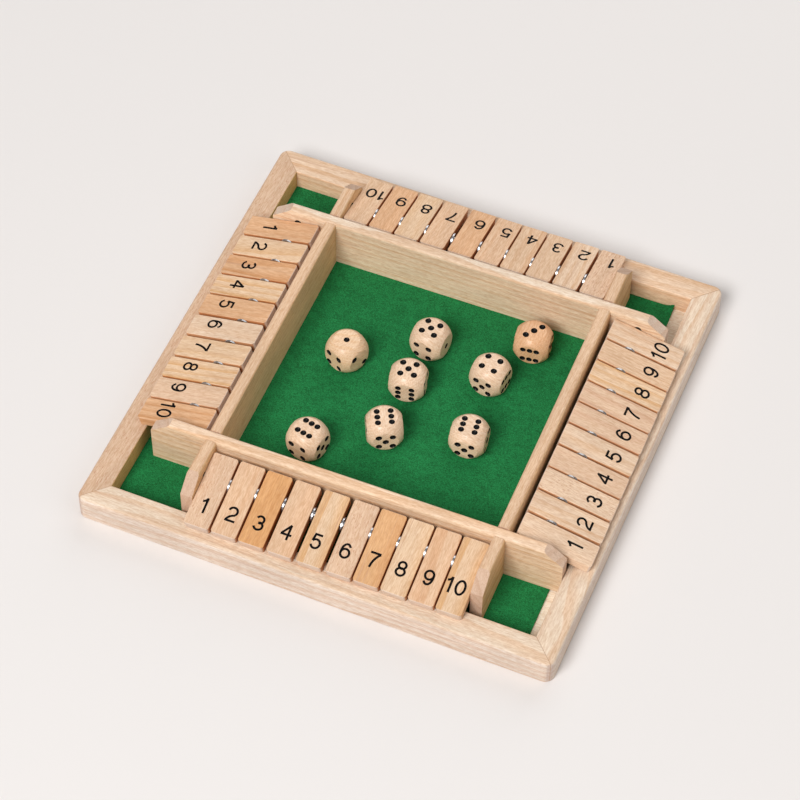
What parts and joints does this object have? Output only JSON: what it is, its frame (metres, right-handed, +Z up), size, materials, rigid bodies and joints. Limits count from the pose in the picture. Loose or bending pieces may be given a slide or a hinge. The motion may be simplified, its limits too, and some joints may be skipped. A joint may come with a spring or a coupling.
{
  "type": "shut the box game",
  "caption": "Square wooden dice game board: felted tray, corner pockets, rows of number tiles that flip on steel rods, and loose wooden dice.",
  "frame": {"origin": "middle of the underside of the square board", "axes": "+Z up, +X to the right and +Y away for the player on the front side, along the rails"},
  "size_m": [0.222, 0.222, 0.0295],
  "materials": {
    "rail_wood": "clear satin lacquer on pine",
    "wall_wood": "clear satin lacquer on pine",
    "base_wood": "bare plywood",
    "tile_wood": "clear satin lacquer on pine",
    "die_wood": "polished pale wood with black pips",
    "felt": "pressed green felt",
    "rod_steel": "drawn wire",
    "washer_steel": "bright zinc plating"
  },
  "bodies": {
    "board": {"base_board": "base_wood", "felt_lining": "felt", "rail_front": "rail_wood", "rail_right": "rail_wood", "rail_back": "rail_wood", "rail_left": "rail_wood", "wall_front": "wall_wood", "wall_back": "wall_wood", "side_walls": "wall_wood", "stub_walls": "wall_wood", "tile_rods": "rod_steel", "washers": "washer_steel"},
    "tile_front_1": {"tile_front_1": "tile_wood"},
    "tile_front_2": {"tile_front_2": "tile_wood"},
    "tile_front_3": {"tile_front_3": "tile_wood"},
    "tile_front_4": {"tile_front_4": "tile_wood"},
    "tile_front_5": {"tile_front_5": "tile_wood"},
    "tile_front_6": {"tile_front_6": "tile_wood"},
    "tile_front_7": {"tile_front_7": "tile_wood"},
    "tile_front_8": {"tile_front_8": "tile_wood"},
    "tile_front_9": {"tile_front_9": "tile_wood"},
    "tile_front_10": {"tile_front_10": "tile_wood"},
    "tile_right_1": {"tile_right_1": "tile_wood"},
    "tile_right_2": {"tile_right_2": "tile_wood"},
    "tile_right_3": {"tile_right_3": "tile_wood"},
    "tile_right_4": {"tile_right_4": "tile_wood"},
    "tile_right_5": {"tile_right_5": "tile_wood"},
    "tile_right_6": {"tile_right_6": "tile_wood"},
    "tile_right_7": {"tile_right_7": "tile_wood"},
    "tile_right_8": {"tile_right_8": "tile_wood"},
    "tile_right_9": {"tile_right_9": "tile_wood"},
    "tile_right_10": {"tile_right_10": "tile_wood"},
    "tile_back_1": {"tile_back_1": "tile_wood"},
    "tile_back_2": {"tile_back_2": "tile_wood"},
    "tile_back_3": {"tile_back_3": "tile_wood"},
    "tile_back_4": {"tile_back_4": "tile_wood"},
    "tile_back_5": {"tile_back_5": "tile_wood"},
    "tile_back_6": {"tile_back_6": "tile_wood"},
    "tile_back_7": {"tile_back_7": "tile_wood"},
    "tile_back_8": {"tile_back_8": "tile_wood"},
    "tile_back_9": {"tile_back_9": "tile_wood"},
    "tile_back_10": {"tile_back_10": "tile_wood"},
    "tile_left_1": {"tile_left_1": "tile_wood"},
    "tile_left_2": {"tile_left_2": "tile_wood"},
    "tile_left_3": {"tile_left_3": "tile_wood"},
    "tile_left_4": {"tile_left_4": "tile_wood"},
    "tile_left_5": {"tile_left_5": "tile_wood"},
    "tile_left_6": {"tile_left_6": "tile_wood"},
    "tile_left_7": {"tile_left_7": "tile_wood"},
    "tile_left_8": {"tile_left_8": "tile_wood"},
    "tile_left_9": {"tile_left_9": "tile_wood"},
    "tile_left_10": {"tile_left_10": "tile_wood"},
    "die_1": {"die_1": "die_wood"},
    "die_2": {"die_2": "die_wood"},
    "die_3": {"die_3": "die_wood"},
    "die_4": {"die_4": "die_wood"},
    "die_5": {"die_5": "die_wood"},
    "die_6": {"die_6": "die_wood"},
    "die_7": {"die_7": "die_wood"},
    "die_8": {"die_8": "die_wood"}
  },
  "joints": [
    {"name": "flip_front_1", "type": "hinge", "parent": "board", "child": "tile_front_1", "pos_m": [-0.05513, -0.08396, 0.0211], "axis": [-0.9999, -0.0131, 0], "range_deg": [0, 152]},
    {"name": "flip_front_2", "type": "hinge", "parent": "board", "child": "tile_front_2", "pos_m": [-0.04238, -0.08379, 0.0211], "axis": [-0.9999, -0.0131, 0], "range_deg": [0, 152]},
    {"name": "flip_front_3", "type": "hinge", "parent": "board", "child": "tile_front_3", "pos_m": [-0.02963, -0.08362, 0.0211], "axis": [-0.9999, -0.0131, 0], "range_deg": [0, 152]},
    {"name": "flip_front_4", "type": "hinge", "parent": "board", "child": "tile_front_4", "pos_m": [-0.01638, -0.08345, 0.0211], "axis": [-0.9999, -0.0131, 0], "range_deg": [0, 152]},
    {"name": "flip_front_5", "type": "hinge", "parent": "board", "child": "tile_front_5", "pos_m": [-0.00268, -0.08327, 0.0211], "axis": [-0.9999, -0.0131, 0], "range_deg": [0, 152]},
    {"name": "flip_front_6", "type": "hinge", "parent": "board", "child": "tile_front_6", "pos_m": [0.01091, -0.08309, 0.0211], "axis": [-0.9999, -0.0131, 0], "range_deg": [0, 152]},
    {"name": "flip_front_7", "type": "hinge", "parent": "board", "child": "tile_front_7", "pos_m": [0.02348, -0.08293, 0.0211], "axis": [-0.9999, -0.0131, 0], "range_deg": [0, 152]},
    {"name": "flip_front_8", "type": "hinge", "parent": "board", "child": "tile_front_8", "pos_m": [0.03605, -0.08276, 0.0211], "axis": [-0.9999, -0.0131, 0], "range_deg": [0, 152]},
    {"name": "flip_front_9", "type": "hinge", "parent": "board", "child": "tile_front_9", "pos_m": [0.04862, -0.0826, 0.0211], "axis": [-0.9999, -0.0131, 0], "range_deg": [0, 152]},
    {"name": "flip_front_10", "type": "hinge", "parent": "board", "child": "tile_front_10", "pos_m": [0.06119, -0.08243, 0.0211], "axis": [-0.9999, -0.0131, 0], "range_deg": [0, 152]},
    {"name": "flip_right_1", "type": "hinge", "parent": "board", "child": "tile_right_1", "pos_m": [0.08593, -0.05523, 0.0211], "axis": [0.0131, -0.9999, 0], "range_deg": [0, 152]},
    {"name": "flip_right_2", "type": "hinge", "parent": "board", "child": "tile_right_2", "pos_m": [0.08576, -0.04233, 0.0211], "axis": [0.0131, -0.9999, 0], "range_deg": [0, 152]},
    {"name": "flip_right_3", "type": "hinge", "parent": "board", "child": "tile_right_3", "pos_m": [0.08559, -0.02948, 0.0211], "axis": [0.0131, -0.9999, 0], "range_deg": [0, 152]},
    {"name": "flip_right_4", "type": "hinge", "parent": "board", "child": "tile_right_4", "pos_m": [0.08543, -0.01688, 0.0211], "axis": [0.0131, -0.9999, 0], "range_deg": [0, 152]},
    {"name": "flip_right_5", "type": "hinge", "parent": "board", "child": "tile_right_5", "pos_m": [0.08526, -0.00409, 0.0211], "axis": [0.0131, -0.9999, 0], "range_deg": [0, 152]},
    {"name": "flip_right_6", "type": "hinge", "parent": "board", "child": "tile_right_6", "pos_m": [0.08509, 0.00861, 0.0211], "axis": [0.0131, -0.9999, 0], "range_deg": [0, 152]},
    {"name": "flip_right_7", "type": "hinge", "parent": "board", "child": "tile_right_7", "pos_m": [0.08493, 0.02118, 0.0211], "axis": [0.0131, -0.9999, 0], "range_deg": [0, 152]},
    {"name": "flip_right_8", "type": "hinge", "parent": "board", "child": "tile_right_8", "pos_m": [0.08476, 0.03376, 0.0211], "axis": [0.0131, -0.9999, 0], "range_deg": [0, 152]},
    {"name": "flip_right_9", "type": "hinge", "parent": "board", "child": "tile_right_9", "pos_m": [0.0846, 0.04633, 0.0211], "axis": [0.0131, -0.9999, 0], "range_deg": [0, 152]},
    {"name": "flip_right_10", "type": "hinge", "parent": "board", "child": "tile_right_10", "pos_m": [0.08443, 0.05906, 0.0211], "axis": [0.0131, -0.9999, 0], "range_deg": [0, 152]},
    {"name": "flip_back_1", "type": "hinge", "parent": "board", "child": "tile_back_1", "pos_m": [0.05853, 0.08395, 0.0211], "axis": [0.9999, 0.0131, 0], "range_deg": [0, 152]},
    {"name": "flip_back_2", "type": "hinge", "parent": "board", "child": "tile_back_2", "pos_m": [0.04548, 0.08378, 0.0211], "axis": [0.9999, 0.0131, 0], "range_deg": [0, 152]},
    {"name": "flip_back_3", "type": "hinge", "parent": "board", "child": "tile_back_3", "pos_m": [0.03253, 0.08361, 0.0211], "axis": [0.9999, 0.0131, 0], "range_deg": [0, 152]},
    {"name": "flip_back_4", "type": "hinge", "parent": "board", "child": "tile_back_4", "pos_m": [0.01996, 0.08344, 0.0211], "axis": [0.9999, 0.0131, 0], "range_deg": [0, 152]},
    {"name": "flip_back_5", "type": "hinge", "parent": "board", "child": "tile_back_5", "pos_m": [0.00739, 0.08328, 0.0211], "axis": [0.9999, 0.0131, 0], "range_deg": [0, 152]},
    {"name": "flip_back_6", "type": "hinge", "parent": "board", "child": "tile_back_6", "pos_m": [-0.00561, 0.08311, 0.0211], "axis": [0.9999, 0.0131, 0], "range_deg": [0, 152]},
    {"name": "flip_back_7", "type": "hinge", "parent": "board", "child": "tile_back_7", "pos_m": [-0.01931, 0.08293, 0.0211], "axis": [0.9999, 0.0131, 0], "range_deg": [0, 152]},
    {"name": "flip_back_8", "type": "hinge", "parent": "board", "child": "tile_back_8", "pos_m": [-0.03206, 0.08276, 0.0211], "axis": [0.9999, 0.0131, 0], "range_deg": [0, 152]},
    {"name": "flip_back_9", "type": "hinge", "parent": "board", "child": "tile_back_9", "pos_m": [-0.04466, 0.0826, 0.0211], "axis": [0.9999, 0.0131, 0], "range_deg": [0, 152]},
    {"name": "flip_back_10", "type": "hinge", "parent": "board", "child": "tile_back_10", "pos_m": [-0.05731, 0.08243, 0.0211], "axis": [0.9999, 0.0131, 0], "range_deg": [0, 152]},
    {"name": "flip_left_1", "type": "hinge", "parent": "board", "child": "tile_left_1", "pos_m": [-0.08195, 0.05683, 0.0211], "axis": [-0.0131, 0.9999, 0], "range_deg": [0, 152]},
    {"name": "flip_left_2", "type": "hinge", "parent": "board", "child": "tile_left_2", "pos_m": [-0.08178, 0.04403, 0.0211], "axis": [-0.0131, 0.9999, 0], "range_deg": [0, 152]},
    {"name": "flip_left_3", "type": "hinge", "parent": "board", "child": "tile_left_3", "pos_m": [-0.08162, 0.03138, 0.0211], "axis": [-0.0131, 0.9999, 0], "range_deg": [0, 152]},
    {"name": "flip_left_4", "type": "hinge", "parent": "board", "child": "tile_left_4", "pos_m": [-0.08145, 0.01878, 0.0211], "axis": [-0.0131, 0.9999, 0], "range_deg": [0, 152]},
    {"name": "flip_left_5", "type": "hinge", "parent": "board", "child": "tile_left_5", "pos_m": [-0.08129, 0.00613, 0.0211], "axis": [-0.0131, 0.9999, 0], "range_deg": [0, 152]},
    {"name": "flip_left_6", "type": "hinge", "parent": "board", "child": "tile_left_6", "pos_m": [-0.08112, -0.00691, 0.0211], "axis": [-0.0131, 0.9999, 0], "range_deg": [0, 152]},
    {"name": "flip_left_7", "type": "hinge", "parent": "board", "child": "tile_left_7", "pos_m": [-0.08095, -0.02001, 0.0211], "axis": [-0.0131, 0.9999, 0], "range_deg": [0, 152]},
    {"name": "flip_left_8", "type": "hinge", "parent": "board", "child": "tile_left_8", "pos_m": [-0.08078, -0.03286, 0.0211], "axis": [-0.0131, 0.9999, 0], "range_deg": [0, 152]},
    {"name": "flip_left_9", "type": "hinge", "parent": "board", "child": "tile_left_9", "pos_m": [-0.08061, -0.04546, 0.0211], "axis": [-0.0131, 0.9999, 0], "range_deg": [0, 152]},
    {"name": "flip_left_10", "type": "hinge", "parent": "board", "child": "tile_left_10", "pos_m": [-0.08045, -0.05806, 0.0211], "axis": [-0.0131, 0.9999, 0], "range_deg": [0, 152]},
    {"name": "lift_die_1", "type": "slide", "parent": "board", "child": "die_1", "axis": [0, 0, 1], "range_m": [0, 0.05]},
    {"name": "lift_die_2", "type": "slide", "parent": "board", "child": "die_2", "axis": [0, 0, 1], "range_m": [0, 0.05]},
    {"name": "lift_die_3", "type": "slide", "parent": "board", "child": "die_3", "axis": [0, 0, 1], "range_m": [0, 0.05]},
    {"name": "lift_die_4", "type": "slide", "parent": "board", "child": "die_4", "axis": [0, 0, 1], "range_m": [0, 0.05]},
    {"name": "lift_die_5", "type": "slide", "parent": "board", "child": "die_5", "axis": [0, 0, 1], "range_m": [0, 0.05]},
    {"name": "lift_die_6", "type": "slide", "parent": "board", "child": "die_6", "axis": [0, 0, 1], "range_m": [0, 0.05]},
    {"name": "lift_die_7", "type": "slide", "parent": "board", "child": "die_7", "axis": [0, 0, 1], "range_m": [0, 0.05]},
    {"name": "lift_die_8", "type": "slide", "parent": "board", "child": "die_8", "axis": [0, 0, 1], "range_m": [0, 0.05]}
  ]
}
